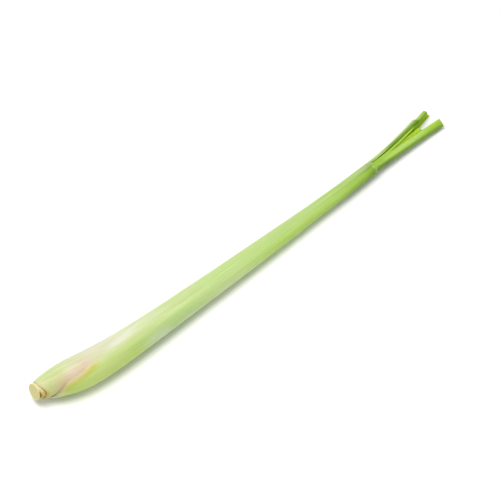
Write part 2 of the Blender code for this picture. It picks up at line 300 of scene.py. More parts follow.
# Everything about a leaf's grid of points: places, the wall's middle, its normal, and what the looks need
def leafGrid(name):
    leaf = leaves[name]
    collar, tip = leaf["collar"], leaf["tip"]
    rows = [np.linspace(a, b, cells + 1)[:-1] for a, b, cells in leaf["rows"]]
    rows = np.concatenate(rows + [[tip]])
    inner, near, far = leaf["bladeCells"], leaf["nearCells"], leaf["farCells"]
    shares = np.concatenate([
        -np.linspace(2, 1, far, endpoint=False), -np.linspace(1, 0, inner, endpoint=False),
        np.linspace(0, 1, inner, endpoint=False), np.linspace(1, 2, near + 1),
    ])
    side = np.where(shares < 0, -1.0, 1.0)[None, :]
    share = np.abs(shares)[None, :]
    place = rows[:, None] + 0 * share
    inBlade = place > collar + hair
    seed = 100 * (leafNames.index(name) + 1)

    # rolled sheath
    collarRadius = sheathRadius(name, np.array(float(collar)))
    bladeEdge = leaf["bladeHalf"] / collarRadius
    upper, lower = wraps(name, place)
    reach = np.where(side > 0, upper, lower)
    angle = side * (np.minimum(share, 1) * bladeEdge + np.clip(share - 1, 0, 1) * (reach - bladeEdge))
    sheathPlace = place + (footNotch(place, angle) if name == "leaf_1" else 0)
    radius = sheathRadius(name, sheathPlace) + (overlapShift(sheathPlace, angle) if name == "leaf_1" else 0)
    edgeSheath = (reach - np.abs(angle)) * radius
    # the top edge of the sheath is a torn, papery rim
    rim = ease(collar - detail["raggedFrom"], collar, place) * ease(*detail["raggedShares"], share)
    torn = detail["raggedMiddle"] + unevenness(angle * detail["raggedPace"], 0, seed + seeds["rim"])
    sheathPlace = sheathPlace + rim * detail["ragged"] * torn
    if name == "leaf_1":    # the foot edge is trimmed a little unevenly
        low = 1 - ease(leaf["start"], leaf["start"] + detail["footRaggedFor"], place)
        trimmed = unevenness(angle * detail["footRaggedPace"], 0, seed + seeds["footEdge"])
        sheathPlace = sheathPlace + low * detail["footRagged"] * trimmed
        pressed = overlap["pressed"] * hump(edgeSheath, 0, overlap["pressedWidth"]) * (side < 0)
        radius = radius - pressed * overlapPitch(place) / overlapPitch(np.array(overlap["pressedLike"]))
        nearFoot = np.exp(-np.clip(place - leaf["start"], 0, None) / overlap["hugsFor"])
        radius = radius - overlap["hugsStem"] * nearFoot

    # folded blade
    bladeShare = np.clip((place - collar) / (tip - collar), 0, 1)
    opened = bladeShare ** detail["opens"]
    bent = bladeShare ** detail["bends"]
    halfHeight = collarRadius * (1 - leaf["fold"] * bladeShare)
    crease = math.radians(leaf["crease"]) * opened
    bendRadius = halfHeight / (1 - np.sin(crease))
    toMargin = np.clip(share, 0, 1)
    alongWall = toMargin * leaf["bladeHalf"]
    turn = np.minimum(crease + alongWall / bendRadius, math.pi / 2)
    straight = np.clip(alongWall - bendRadius * (math.pi / 2 - crease), 0, None)
    keel = collarRadius + leaf["spread"] * opened
    bladeKeelwards = keel - bendRadius * (np.cos(crease) - np.cos(turn)) - straight
    bladeSideways = side * bendRadius * (np.sin(turn) - np.sin(crease))
    onKeel = share < hair
    outKeel = np.where(onKeel, 1, np.cos(turn))
    outSide = np.where(onKeel, 0, side * np.sin(turn))
    wavy = unevenness(place * detail["wavePace"], side * detail["waveApart"], seed + seeds["wave"])
    wave = detail["waviness"] * opened * toMargin ** 2 * wavy
    ends = ease(tip - detail["jaggedFrom"], tip, place) * detail["jagged"]
    coarse, fine = detail["jaggedPaces"]
    jags = unevenness(side * share * coarse, 0, seed + seeds["cut"])
    jags = jags + detail["jaggedFine"] * unevenness(side * share * fine, 0, seed + seeds["cutFine"])
    slanted = leaf["slant"] * bent * side * toMargin
    bladePlace = place + slanted + ends * (jags - detail["jaggedBack"])
    edgeBlade = (1 - toMargin) * leaf["bladeHalf"]

    pick = lambda blade, sheath: np.where(inBlade, blade, sheath)
    grid = {
        "row": place, "angle": angle, "share": share * side, "inBlade": inBlade, "seed": seed,
        "place": pick(bladePlace, sheathPlace),
        "keelwards": pick(bladeKeelwards + wave * outKeel, radius * np.cos(angle)),
        "sideways": pick(bladeSideways + wave * outSide, radius * np.sin(angle)),
        "outKeel": pick(outKeel, np.cos(angle)),
        "outSide": pick(outSide, np.sin(angle)),
        "edge": pick(edgeBlade, edgeSheath),
        "radius": pick(halfHeight, radius),
        "droop": leaf["droop"] * bent,
    }
    cellShare = (share[0, :-1] + share[0, 1:]) / 2
    grid["isLeaf"] = ~inBlade[1:, :-1] | (cellShare < 1)[None, :]
    return grid


# How far the outer and the inner face lie from the middle of the wall
def leafFaces(name, grid):
    leaf = leaves[name]
    place, angle = grid["row"], grid["angle"]
    collar = leaf["collar"]
    inBlade = ease(*detail["thinsOnBlade"], place - collar)
    thinEdge = ease(0, detail["marginWidth"], grid["edge"])
    if name == "leaf_1":
        fromFoot = place - leaf["start"] + detail["footEdgeStarts"]
        thinEdge = thinEdge * ease(0, detail["footEdgeWidth"], fromFoot)
    thin = detail["marginThin"] + (1 - detail["marginThin"]) * thinEdge
    fade = np.where(grid["inBlade"], inBlade, 1)
    half = wall(leaf, place) / 2 * (1 - (1 - thin) * fade)
    wander = detail["ribWander"] * paced(grid, detail["ribWanderPaces"], "ribWander")
    steady, fading = detail["ribFades"]
    strength = steady + fading * paced(grid, detail["ribFadesPaces"], "ribFades")
    ribs = np.cos(angle * detail["ribsRound"] + wander) * strength
    onStalk, onBulb = detail["ribShare"]
    ribHeight = detail["ribHeight"] * (onStalk + onBulb * fullness(place)) * thinEdge
    swell = detail["swellHeight"] * fullness(place) ** 0.5 * paced(grid, detail["swellPaces"], "swell")
    ripple = detail["rippleShare"] * detail["swellHeight"] * paced(grid, detail["ripplePaces"], "ripple")
    midrib = detail["midribHeight"] * hump(angle * grid["radius"], 0, detail["midribWidth"])
    midrib = midrib * ease(*detail["midribAlong"], place)
    collarRing = detail["collarHeight"] * hump(place, collar - detail["collarBack"], detail["collarWidth"])
    collarRing = collarRing * (1.0 if name == "leaf_1" else detail["collarInner"])
    settled = ease(*detail["settles"], place - leaf["start"])
    outer = half + (ribs * ribHeight + (swell + ripple) * thinEdge) * settled + midrib + collarRing
    inner = half - detail["ribInside"] * ribs * ribHeight * inBlade
    return outer, inner


def gridPoints(name, grid, way, offset):
    side = leaves[name]["side"]
    keelwards = grid["keelwards"] + way * offset * grid["outKeel"]
    sideways = grid["sideways"] + way * offset * grid["outSide"]
    points = toPoints(grid["place"], side * keelwards, side * sideways)
    points[..., 2] -= grid["droop"] * mm
    points[..., 2] = np.maximum(points[..., 2], 0)
    return points


# A closed solid between two grids of points, over the cells of the mask
def closedSheet(name, outer, inner, isLeaf, values):
    rows, columns = outer.shape[:2]
    used = np.zeros((rows, columns), bool)
    for down, right in ((0, 0), (0, 1), (1, 0), (1, 1)):
        used[down:rows - 1 + down, right:columns - 1 + right] |= isLeaf
    count = int(used.sum())
    number = np.zeros((rows, columns), int)
    number[used] = np.arange(count)
    a, b = number[:-1, :-1], number[:-1, 1:]
    d, c = number[1:, :-1], number[1:, 1:]
    quads = np.stack([a, b, c, d], -1)[isLeaf]
    faces = [quads, quads[:, ::-1] + count]
    padded = np.pad(isLeaf, 1)
    sides = (
        (padded[:-2, 1:-1], a, b), (padded[1:-1, 2:], b, c),
        (padded[2:, 1:-1], c, d), (padded[1:-1, :-2], d, a),
    )
    for neighbour, start, end in sides:
        free = isLeaf & ~neighbour
        p, q = start[free], end[free]
        faces.append(np.stack([q, p, p + count, q + count], -1))
    mesh = bpy.data.meshes.new(name)
    points = np.concatenate([outer[used], inner[used]])
    mesh.from_pydata(points.tolist(), [], np.concatenate(faces).tolist())
    for key, pair in values.items():
        store(mesh, key, np.concatenate([pair[0][used], pair[1][used]]))
    return mesh


def store(mesh, key, data):
    kind, field = ("FLOAT_VECTOR", "vector") if data.ndim == 2 else ("FLOAT", "value")
    attribute = mesh.attributes.new(key, kind, "POINT")
    attribute.data.foreach_set(field, data.astype(float).ravel())


sharpAngle = math.radians(55)


def addPiece(mesh, material, replaced):
    mesh.materials.append(material)
    mesh.shade_smooth()
    mesh.set_sharp_from_angle(angle=sharpAngle)
    piece = bpy.data.objects.new(mesh.name, mesh)
    bpy.context.scene.collection.objects.link(piece)
    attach(piece, "root")
    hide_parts(replaced)


# Small helpers for node trees
def addNode(tree, kind, inputs=(), **settings):
    node = tree.nodes.new(kind)
    for key, value in settings.items():
        setattr(node, key, value)
    for key, value in dict(inputs).items():
        if isinstance(value, bpy.types.NodeSocket):
            tree.links.new(value, node.inputs[key])
        else:
            node.inputs[key].default_value = value
    return node


def reading(tree, name, output="Fac"):
    return addNode(tree, "ShaderNodeAttribute", attribute_name=name).outputs[output]


def calc(tree, operation, a, b=0.0, clamp=False):
    return addNode(tree, "ShaderNodeMath", {0: a, 1: b}, operation=operation, use_clamp=clamp).outputs[0]


def blendColours(tree, factor, a, b, how="MIX"):
    node = addNode(tree, "ShaderNodeMix", {0: factor, 6: a, 7: b}, data_type="RGBA", blend_type=how)
    return node.outputs[2]


def grain(tree, vector, stretch, levels, rough=0.55):
    scaled = addNode(tree, "ShaderNodeVectorMath", {0: vector, 1: stretch}, operation="MULTIPLY")
    noise = addNode(tree, "ShaderNodeTexNoise", {"Vector": scaled.outputs[0], "Scale": 1.0, "Detail": levels,
                                                 "Roughness": rough})
    return noise.outputs[0]


def fromTo(tree, value, low, high, newLow=0.0, newHigh=1.0):
    return addNode(tree, "ShaderNodeMapRange", {0: value, 1: low, 2: high, 3: newLow, 4: newHigh}).outputs[0]


def colourStops(tree, value, stops):
    ramp = addNode(tree, "ShaderNodeValToRGB", {0: value})
    elements = ramp.color_ramp.elements
    while len(elements) < len(stops):
        elements.new(0.5)
    for element, (position, colour) in zip(elements, stops):
        element.position = position
        element.color = (*colour, 1)
    return ramp.outputs[0]


def newMaterial(name):
    material = bpy.data.materials.new(name)
    material.use_nodes = True
    return material, material.node_tree, material.node_tree.nodes["Principled BSDF"]


# Joins colour, roughness and fine relief to a material's shader
def finishSkin(tree, shader, skin, colour, rough, height):
    bump = addNode(tree, "ShaderNodeBump", {"Strength": skin["bumpStrength"], "Height": height,
                                            "Distance": skin["bumpDepth"]})
    for key, socket in (("Base Color", colour), ("Roughness", rough), ("Normal", bump.outputs[0])):
        tree.links.new(socket, shader.inputs[key])
    for key, value in skin["shine"].items():
        shader.inputs[key].default_value = value


leafSkin = {
    "greens": ((0.0, (0.635, 0.62, 0.405)), (0.12, (0.63, 0.64, 0.33)), (0.24, (0.61, 0.69, 0.33)),
               (0.36, (0.55, 0.67, 0.265)), (0.5, (0.48, 0.65, 0.20)), (0.65, (0.42, 0.62, 0.15)),
               (0.8, (0.33, 0.54, 0.055)), (1.0, (0.22, 0.42, 0.012))),
    # whitish: the leaf's waxy bloom, and a painted highlight where the outer leaf's top faces the light
    "bloom": (0.77, 0.79, 0.74),
    "blush": (0.70, 0.46, 0.39),
    "straw": (0.67, 0.54, 0.08),
    "lime": (0.49, 0.76, 0.010),        # inner faces and the tender leaves
    "deep": (0.13, 0.27, 0.006),        # olive green: painted shade of lower edges, creases and the gaps between leaves, and the leaf's own olive in the band beside the free margin
    "pale": (0.80, 0.84, 0.60),         # the papery rim of a sheath
    "cutEdge": (0.46, 0.46, 0.14),
    "dry": (0.32, 0.19, 0.04),
    "fleck": (0.42, 0.33, 0.12),
    # each grain: how fine it is across, along and through the leaf, its levels, its roughness
    "grains": {
        "streaks": ((1.1, 0.016, 1.0), 4.0, 0.55), "veins": ((4.2, 0.02, 1.0), 2.0, 0.6),
        "patches": ((0.16, 0.022, 1.0), 3.0, 0.55), "flecks": ((1.7, 0.3, 1.0), 2.0, 0.55),
    },
    "greenStreaks": (0.3, 0.7, -0.14, 0.14),
    "greenPatches": (0.3, 0.7, -0.11, 0.11),
    # the whitish bloom and painted highlight come in patches and streaks
    "bloomAndHighlightPatches": (0.32, 0.6, 0.2, 1.0),
    "bloomAndHighlightStreaks": (0.35, 0.65, 0.45, 1.0),
    # stains laid over the green in this order, painted shade among them, each broken up by a grain
    "stains": (
        ("blush", "streaks", (0.25, 0.75, 0.35, 1.0)), ("straw", "streaks", (0.3, 0.7, 0.55, 1.0)),
        ("lime", "streaks", (0.3, 0.7, 0.8, 1.1)), ("deep", "veins", (0.3, 0.7, 1.0, 0.8)),
        ("pale", "flecks", (0.35, 0.6, 0.45, 1.0)), ("cutEdge", "flecks", (0.0, 1.0, 0.8, 0.8)),
        ("dry", "flecks", (0.3, 0.6, 0.55, 1.0)),
    ),
    "flecksShow": (0.68, 0.80, 0.0, 0.45),
    "veinShade": (0.3, 0.7, 0.86, 1.08),
    "roughness": (0.3, 0.7, 0.30, 0.52),
    "dryRougher": 0.3,
    "streakHeight": 0.8,
    "bumpStrength": 0.6,
    "bumpDepth": 0.00007,
    "shine": {"IOR": 1.42, "Specular IOR Level": 0.36, "Coat Roughness": 0.35, "Subsurface Weight": 0.4,
              "Subsurface Scale": 1.0, "Subsurface Radius": (0.0009, 0.0014, 0.0004)},
}


# Veined, waxy leaf skin. Values stored on the mesh say where it is green, flushed, straw-coloured or dry,
# where it is whitish with bloom and painted highlight, and where it is olive or in painted shade.
def makeLeafSkin(name, bloomAndHighlightShare, gloss):
    material, tree, shader = newMaterial(name)
    spot = reading(tree, "leafSpot", "Vector")
    grains = {key: grain(tree, spot, *how) for key, how in leafSkin["grains"].items()}
    streaks, patches, veins = grains["streaks"], grains["patches"], grains["veins"]

    green = reading(tree, "green")
    streaked = calc(tree, "ADD", green, fromTo(tree, streaks, *leafSkin["greenStreaks"]))
    streaked = calc(tree, "ADD", streaked, fromTo(tree, patches, *leafSkin["greenPatches"]))
    colour = colourStops(tree, streaked, leafSkin["greens"])

    inPatches = fromTo(tree, patches, *leafSkin["bloomAndHighlightPatches"])
    bloom = calc(tree, "MULTIPLY", inPatches, fromTo(tree, streaks, *leafSkin["bloomAndHighlightStreaks"]))
    whitish = calc(tree, "MULTIPLY", reading(tree, "bloom"), bloomAndHighlightShare)
    bloom = calc(tree, "MULTIPLY", bloom, whitish)
    colour = blendColours(tree, bloom, colour, (*leafSkin["bloom"], 1))

    for stain, brokenBy, shares in leafSkin["stains"]:
        amount = fromTo(tree, grains[brokenBy], *shares)
        amount = calc(tree, "MULTIPLY", reading(tree, stain), amount)
        colour = blendColours(tree, amount, colour, (*leafSkin[stain], 1))
    fleckShare = fromTo(tree, grains["flecks"], *leafSkin["flecksShow"])
    colour = blendColours(tree, fleckShare, colour, (*leafSkin["fleck"], 1))
    lines = fromTo(tree, veins, *leafSkin["veinShade"])
    shade = addNode(tree, "ShaderNodeCombineColor", {0: lines, 1: lines, 2: lines}).outputs[0]
    colour = blendColours(tree, 1.0, colour, shade, "MULTIPLY")

    dryness = calc(tree, "MULTIPLY", reading(tree, "dry"), leafSkin["dryRougher"])
    rough = calc(tree, "ADD", fromTo(tree, patches, *leafSkin["roughness"]), dryness)
    height = calc(tree, "ADD", veins, calc(tree, "MULTIPLY", streaks, leafSkin["streakHeight"]))
    finishSkin(tree, shader, leafSkin, colour, rough, height)
    shader.inputs["Coat Weight"].default_value = gloss
    return material


greenAlong = {              # how green a leaf is, by its place: 0 is cream, 1 the deepest green
    "leaf_1": ((0, 0.15), (12, 0.28), (22, 0.21), (32, 0.08), (46, 0.05), (60, 0.12), (78, 0.23), (100, 0.31),
               (130, 0.39), (180, 0.50), (230, 0.57), (280, 0.61), (306, 0.68), (320, 0.80), (332, 0.92),
               (337, 0.68), (350, 0.58), (370, 0.60), (395, 0.78)),
    "leaf_2": ((8, 0.05), (60, 0.10), (200, 0.4), (330, 0.84), (340, 0.80), (345, 0.72), (365, 0.69),
               (385, 0.74), (408, 0.86)),
    "leaf_3": ((12, 0.05), (60, 0.10), (200, 0.4), (340, 0.7), (350, 0.72), (390, 0.80), (410, 0.90)),
    "leaf_4": ((16, 0.05), (60, 0.10), (200, 0.35), (340, 0.7), (355, 0.72), (392, 0.76)),
}

# Bloom, wear and the direction of the light for painted shade, that all leaves have
everyLeaf = {
    "bloom": (0.04, 0.13), "bloomFades": (240, 320),
    "faces": 31,            # the direction round the stalk that faces the light, up and away from the near side; painted shade grows on the side turned from it
    # painted shade comes in over this range of turning away from the light
    "shadeComesIn": (-0.45, 0.8),
    "rimBack": 0.7, "rimUneven": 0.45, "rimPace": 6, "rimWidth": 0.55,
    "rimOuter": 0.85, "rimInner": 0.15,
    "cutWidth": 0.5,
    "browned": 0.35, "brownedWidth": 1.6, "brownedPace": 5,
    "weathered": 0.12, "weatheredFrom": (386, 404),
    "corner": 0.75, "cornerShares": (0.7, 0.28), "cornerLength": 2.4,      # of leaf_3's cut has dried
    "innerLimeFrom": (-6, 4),           # from the collar
    "acrossScale": 9, "leafApart": 0.37, "innerApart": 300.0,
    "bloomAndHighlightMost": 1.5,
}

# Where marks lie. Directions and their widths are in degrees round the stalk, a share runs from the keel to
# a margin, and the other numbers are distances.
areas = {
    "besideMargin": ((0.82, 5.2), (0.16, 13)),      # strengths and widths above the free margin
    "overMargin": (0.8, 2.7),           # and below it
    "collar": (62, 26),     # direction and width
    "band": (3.9, 2.5),     # distance from the edge, and width
    "scorched": (0, 2.4),
    "warm": (58, 100), "shoulder": (72, 100), "flank": (90, 110),           # comes in between directions
    "tan": (176, 34), "tanFades": (5, 12),
    "tanDry": 0.5, "tanDryFades": (3.4, 8),
    "footEdge": (0.35, 0.4),            # strength and width of the dark line along the sheath's foot edge, partly brown and partly painted shadow
    "purple": (196, 14),
    "underSide": (50, 115), "underEdge": (-1, 9),
    "mostShadedSharp": 4,
    # These areas are painted shade: along the outer blade's free margin, on the second sheath where it turns
    # from the light, over the second blade from its keel, and near the third blade's free margin.
    "bladeEdge": (0.54, 0.76), "bladeStarts": (340, 362),
    "sheathBelow": (0.15, 0.7),
    "keel": (-0.55, -0.08), "limeRim": (0.84, 0.94), "farEdge": (0.6, 0.78),        # between shares
    "streak": (-0.62, 0.16),
    "smudge": (60, 18), "smudgePlace": (335.4, 1.7),
}

# Colour, area, how strong, and the places where the mark comes in, is full, fades and is gone, if it does
fromFoot, toTip = (-10, -9), (499, 500)
# The olive green of these marks is painted shade on the sides turned from the light, along lower edges and
# creases and in the gaps between leaves; it is the leaf's own olive in the band beside the outer free margin,
# and it darkens the outer leaf all round just below its collar.
marks = {
    "leaf_1": (
        ("blush", "margin", 1.0, 9, 18, 35, 51), ("blush", "collar", 0.35, 316, 325, 330, 333),
        ("straw", "band", 0.92, 15, 24, 40, 52), ("deep", "band", 0.14, 15, 24, 40, 52),
        ("straw", "warm", 0.2, -1, 4, 18, 28), ("dry", "warm", 0.1, -1, 4, 18, 28),
        ("straw", "tan", 0.82), ("dry", "wornFoot", 1.0),
        ("dry", "purple", 0.35, 6, 9, 12, 17), ("dry", "scorched", 0.6, 9, 13, 18, 25),
        ("green", "underSide", 0.25, 12, 22, 110, 170), ("lime", "underSide", 0.36, 12, 24, 70, 110),
        # straw, and a little painted shade, on the underside
        ("straw", "underSide", 0.2, 12, 24, 60, 100), ("deep", "underSide", 0.06, 12, 24, 90, 150),
        # lime, and painted shade, on the side turned from the light; near the collar the olive darkens the
        # whole leaf, and painted shade darkens that side more
        ("lime", "turnedDown", 0.45, 150, 240, 331, 332), ("deep", "turnedDown", 0.16, 195, 240, 285, 318),
        ("deep", "everywhere", 0.04, 285, 318, 331, 333), ("deep", "turnedDown", 0.46, 285, 318, 331, 333),
        ("deep", "everywhere", 0.14, 318, 330, 331, 333), ("deep", "turnedDown", 0.3, 318, 330, 331, 333),
        # painted shade on the bulb's sides turned from the light
        ("deep", "shoulder", 0.12, 4, 11, 20, 30), ("deep", "flank", 0.07, 40, 60, 90, 120),
        # painted shade where the sheath turns furthest from the light below the collar, and along the outer
        # blade's free margin
        ("deep", "lowest", 0.62, 240, 300, 331, 333), ("deep", "bladeEdge", 0.95),
    ),
    "leaf_2": (
        ("lime", "nearHalf", 0.25, 340, 350, *toTip), ("pale", "streak", 0.12, 346, 356, 378, 396),
        # painted shade on the sheath up to the collar where it turns from the light, and over the blade from
        # its keel
        ("deep", "sheathBelow", 1.0, *fromFoot, 343, 353), ("deep", "keel", 0.96, 342, 352, *toTip),
        ("dry", "everywhere", 0.9, *fromFoot, 9, 16), ("dry", "smudge", 0.5),
    ),
    "leaf_3": (
        ("lime", "everywhere", 0.3, 340, 350, *toTip), ("lime", "limeRim", 0.6, 364, 376, 384, 392),
        # painted shadow near the blade's free margin, towards its tip
        ("deep", "farEdge", 0.92, 383, 391, *toTip),
    ),
    "leaf_4": (
        ("lime", "everywhere", 0.85, 335, 350, *toTip),
        # painted shade over the whole leaf, stronger below about 366 to 388, where it lies in the gap between
        # the outer leaves
        ("deep", "everywhere", 0.22), ("deep", "everywhere", 0.36, *fromFoot, 366, 388),
    ),
}

# Whitish spots of the outer leaf, waxy bloom, and painted highlight on the lit top: place, direction, length,
# width in degrees, strength
bloomAndHighlightSpots = (
    (69, 91, 10, 12, 1.3), (76, 62, 14, 22, 1.6), (97, 172, 12, 22, 1.3), (54, 66, 16, 26, 0.5),
    (100, 72, 14, 16, 0.4), (60, 146, 16, 16, 0.45), (128, 178, 12, 14, 0.5), (178, 172, 22, 16, 0.5),
    (320, 78, 12, 26, 0.35),
)


# How much of each area every point of a leaf has
def leafAreas(grid, degrees, lower, turnedDown):
    place, angle, share, edge = grid["row"], grid["angle"], grid["share"], grid["edge"]
    onTop, below = angle > 0, angle < 0
    beside = np.clip((marginAngle(place) - angle) * grid["radius"], 0, None)    # from the margin
    margin = sum(strength * hump(beside, 0, width) for strength, width in areas["besideMargin"]) * onTop
    strength, width = areas["overMargin"]
    margin = margin + strength * below * hump(edge, 0, width)
    tan = hump(angle, *np.radians(areas["tan"])) * (1 - ease(*areas["tanFades"], place))
    # the tan patch dries brown, and a dark line, partly brown and partly painted shadow, runs along the
    # sheath's foot edge
    strength, width = areas["footEdge"]
    wornFoot = areas["tanDry"] * tan * (1 - ease(*areas["tanDryFades"], place))
    wornFoot = wornFoot + strength * (1 - tan) * hump(place, leaves["leaf_1"]["start"], width)
    underSide = below * ease(*np.radians(areas["underSide"]), -angle) * ease(*areas["underEdge"], edge)
    bladeEdge = ease(*areas["bladeEdge"], share) * grid["inBlade"] * ease(*areas["bladeStarts"], place)
    return {
        "everywhere": 1, "turnedDown": turnedDown, "nearHalf": share < 0,
        "margin": margin, "tan": tan, "wornFoot": wornFoot, "underSide": underSide, "bladeEdge": bladeEdge,
        "collar": hump(degrees, *areas["collar"]),
        "band": hump(edge, *areas["band"]) * below,
        "scorched": hump(edge, *areas["scorched"]) * below,
        "warm": ease(*areas["warm"], degrees) * onTop,
        "shoulder": ease(*areas["shoulder"], degrees) * onTop,
        "flank": ease(*areas["flank"], degrees),
        "purple": hump(angle, *np.radians(areas["purple"])),
        "lowest": lower ** areas["mostShadedSharp"],
        "sheathBelow": ease(*areas["sheathBelow"], lower),
        "keel": ease(*areas["keel"], share),
        "limeRim": ease(*areas["limeRim"], share),
        "farEdge": ease(*areas["farEdge"], share),
        "streak": hump(share, *areas["streak"]),
        "smudge": hump(degrees, *areas["smudge"]) * hump(place, *areas["smudgePlace"]),
    }


# Values that the leaf skin reads, for the outer and the inner face
def leafLooks(name, grid):
    leaf, wear = leaves[name], everyLeaf
    place, angle, share = grid["row"], grid["angle"], grid["share"]
    none = np.zeros(place.shape)
    degrees = (np.degrees(angle) + (0 if leaf["side"] > 0 else 180)) % 360
    # how far each point faces the light; the side turned from it is painted in shade
    facingLight = np.cos(np.radians(degrees - wear["faces"]))
    lower = np.clip(-facingLight, 0, 1)
    turnedDown = ease(*wear["shadeComesIn"], -facingLight)
    least, more = wear["bloom"]
    rimmed = wear["rimOuter"] if name == "leaf_1" else wear["rimInner"]
    rimUneven = wear["rimUneven"] * unevenness(angle * wear["rimPace"], 0, grid["seed"] + seeds["paleRim"])
    rimPlace = leaf["collar"] - wear["rimBack"] - rimUneven
    looks = {
        "green": through(greenAlong[name], place),
        "bloom": more * (1 - ease(*wear["bloomFades"], place)) + least,
        "pale": rimmed * hump(place, rimPlace, wear["rimWidth"]) * ~grid["inBlade"],
        "blush": none, "straw": none, "dry": none, "lime": none, "deep": none,
    }
    shareOf = leafAreas(grid, degrees, lower, turnedDown)
    for colour, area, strength, *along in marks[name]:
        amount = strength * shareOf[area] * (inAndOut(along, place) if along else 1)
        # marks of one colour add up, but on the outer leaf only green and the olive with painted shade do;
        # else the strongest counts
        join = np.add if name != "leaf_1" or colour in ("green", "deep") else np.maximum
        looks[colour] = join(looks[colour], amount)
    if name == "leaf_1":
        for where, turned, length, width, strength in bloomAndHighlightSpots:
            whitened = hump(place, where, length) * hump(degrees, turned, width)
            looks["bloom"] = looks["bloom"] + strength * whitened

    fromTip = leaf["tip"] - place
    looks["cutEdge"] = np.exp(-fromTip / wear["cutWidth"])
    if name != "leaf_4":
        patchy = 0.5 + 0.5 * np.sin(share * wear["brownedPace"])
        browned = wear["browned"] * np.exp(-fromTip / wear["brownedWidth"]) * grid["inBlade"] * patchy
        looks["dry"] = np.maximum(looks["dry"], browned)
    weathered = wear["weathered"] * ease(*wear["weatheredFrom"], place) * grid["inBlade"]
    looks["dry"] = np.maximum(looks["dry"], weathered)
    if name == "leaf_3":
        corner = hump(share, *wear["cornerShares"]) * np.exp(-fromTip / wear["cornerLength"])
        looks["dry"] = np.maximum(looks["dry"], wear["corner"] * corner)
    looks["bloom"] = np.clip(looks["bloom"], 0, wear["bloomAndHighlightMost"])
    apart = np.full(place.shape, grid["seed"] * wear["leafApart"])
    spot = np.stack([angle * wear["acrossScale"], place, apart], -1)
    limeFrom, limeTo = wear["innerLimeFrom"]
    innerLime = ease(leaf["collar"] + limeFrom, leaf["collar"] + limeTo, place)
    pairs = {key: (value, none) for key, value in looks.items()}
    pairs["leafSpot"] = (spot, spot + np.array([wear["innerApart"], 0, 0]))
    pairs["lime"] = (looks["lime"], innerLime)
    for key in ("green", "dry", "cutEdge"):
        pairs[key] = (looks[key], looks[key])
    return pairs


def makeLeaf(name, material):
    grid = leafGrid(name)
    outerOffset, innerOffset = leafFaces(name, grid)
    outer = gridPoints(name, grid, 1, outerOffset)
    inner = gridPoints(name, grid, -1, innerOffset)
    mesh = closedSheet(name + "_fine", outer, inner, grid["isLeaf"], leafLooks(name, grid))
    addPiece(mesh, material, name)
    print(name, "made with", len(mesh.polygons), "faces")


leafShine = {"outer": (1.0, 0.08), "inner": (0.3, 0.03), "young": (0.3, 0.03)}     # share of bloom and painted highlight, gloss
outerSkin = makeLeafSkin("outerLeafSkin", *leafShine["outer"])
innerSkin = makeLeafSkin("innerLeafSkin", *leafShine["inner"])
makeLeaf("leaf_1", outerSkin)
for leafName in leafNames[1:]:
    makeLeaf(leafName, innerSkin)


# The cut stem. "along" holds the places where a thing comes in, is full, fades and is gone.
foot = {
    "start": -1.6, "end": 20,
    "profile": ((-1.6, 6.15), (-1.2, 6.4), (0.8, 6.5), (2.2, 6.35), (3.4, 6.25), (6, 6.1), (8, 5.5),
                (12, 4.4), (16, 3.0), (20, 2.0)),
    "slant": 1.7,           # the cut face looks a little upwards
    "slantRadius": 6.5,
    "slantFaces": math.radians(121),
    "slantFades": 5.5,
    "sides": 144,
    "sideRows": ((-1.1, 5.5, 46), (5.8, 20, 16)),
    "sideShows": (5, 7),    # the stem goes under the sheath here
    "lip": (1.5, 0.3, 0.12),            # place, width, height
    "dent": (2.3, 0.25, 0.10),
    "rough": 0.07, "roughPaces": (2.4, 7),
    "bumps": 0.10, "bumpsPaces": (1.2, 18),
    "shrinks": 0.06,
    "bulge": 0.85,          # where the stem shows in the sheath's notch
    "bulgeTurned": math.radians(168),
    "bulgeWidth": math.radians(34),
    "bulgeAlong": (2.2, 3.6, 6.2, 9),
    "scarDepth": 0.75,      # torn groove between the rim and the bulge
    "scarWidth": math.radians(32),
    "scarAlong": (-0.9, -0.2, 1.8, 3.0),
    "tanStarts": (2.0, 3.2),
    "rings": 26,            # rings of points on the cut face
    "cutDepth": 0.16,       # roughness of the cut
    "sawn": 0.5, "sawnPaces": (1.1, 0.5),
    "yearRings": 0.3, "yearPace": 4.6, "yearWander": 0.7, "wanderPace": 2,
    "middleUp": 0.22,
    "outerDown": 0.15, "downSharp": 6,
    "rim": 0.35,
    "rimSteps": ((0.6, 0.05), (0.22, 0.2)),         # share of the rim inwards, and the place
    "rimUneven": 0.04, "rimPace": 5,
    "rimCut": 0.8,
}


# Rings of points joined into a closed skin, with a middle point at each end
def closedRings(name, points, rows, count, ends):
    ring = np.arange(count)
    after = (ring + 1) % count
    faces = []
    for row in range(rows - 1):
        low, high = row * count, (row + 1) * count
        faces += np.stack([low + ring, low + after, high + after, high + ring], -1).tolist()
    top, middle = (rows - 1) * count, rows * count
    faces += np.stack([after, ring, np.full(count, middle)], -1).tolist()
    faces += np.stack([top + ring, top + after, np.full(count, middle + 1)], -1).tolist()
    mesh = bpy.data.meshes.new(name)
    mesh.from_pydata(np.concatenate([points.reshape(-1, 3), ends]).tolist(), [], faces)
    return mesh


